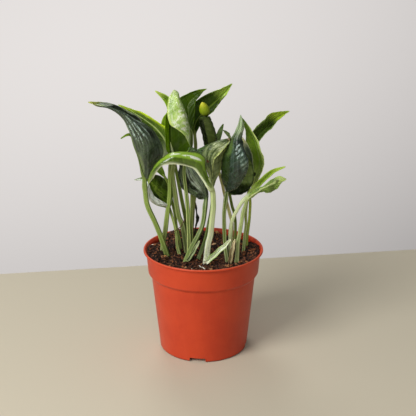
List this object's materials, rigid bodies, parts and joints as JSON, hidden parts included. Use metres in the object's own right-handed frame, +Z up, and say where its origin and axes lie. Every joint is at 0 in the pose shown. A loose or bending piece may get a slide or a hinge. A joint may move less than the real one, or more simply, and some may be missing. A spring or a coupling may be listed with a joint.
{
  "type": "potted pothos",
  "caption": "Young pothos with upright, folded lance-shaped leaves on long stalks, growing from potting mix in a round tapered nursery pot with a collar and lip.",
  "frame": {"origin": "pot axis at the level the pot stands on, at the centre of the foot boss under the pot floor", "axes": "+Z up along the pot axis, +X to the right and +Y away in the front view"},
  "size_m": [0.1933, 0.1202, 0.2652],
  "materials": {
    "pot_plastic": "satin moulded plastic, terracotta orange",
    "potting_mix": "moist crumbly peat and coir with bark chips",
    "leaf_dark": "dark grey-green leaf with silvery sheen",
    "leaf_green": "mid green glossy leaf with paler midrib",
    "leaf_cream": "cream and pale green glossy leaf",
    "leaf_grey": "olive grey puckered leaf with pale margin",
    "leaf_lime": "bright lime green glossy leaf",
    "stalk": "smooth satin leaf stalk, paler at the foot",
    "sheath": "pale papery sheath",
    "dead_tissue": "dried dark plant tissue"
  },
  "bodies": {
    "root": {"pot": "pot_plastic", "soil": "potting_mix", "leaf_large_left": "leaf_dark", "stalk_large_left": "stalk", "leaf_bright_left": "leaf_green", "stalk_bright_left": "stalk", "leaf_cream": "leaf_cream", "stalk_cream": "stalk", "leaf_small_back": "leaf_green", "stalk_small_back": "stalk", "leaf_top_left": "leaf_green", "stalk_top_left": "stalk", "leaf_top_right": "leaf_green", "stalk_top_right": "stalk", "leaf_rolled": "leaf_dark", "stalk_rolled": "stalk", "leaf_small_light": "leaf_green", "stalk_small_light": "stalk", "leaf_olive": "leaf_grey", "stalk_olive": "stalk", "leaf_grey": "leaf_grey", "stalk_grey": "stalk", "leaf_arch": "leaf_lime", "stalk_arch": "stalk", "leaf_cupped": "leaf_dark", "stalk_cupped": "stalk", "leaf_curled_left": "leaf_green", "stalk_curled_left": "stalk", "leaf_big_dark": "leaf_dark", "stalk_big_dark": "stalk", "leaf_right": "leaf_green", "stalk_right": "stalk", "leaf_narrow": "leaf_dark", "stalk_narrow": "stalk", "leaf_upper_right": "leaf_green", "stalk_upper_right": "stalk", "leaf_lime": "leaf_lime", "stalk_lime": "stalk", "leaf_crinkled": "leaf_lime", "stalk_crinkled": "stalk", "sheath_arch": "sheath", "sheath_papery": "sheath", "sheath_grey": "sheath", "dead_stub": "dead_tissue", "leaf_tip_bud": "leaf_lime"}
  },
  "joints": []
}
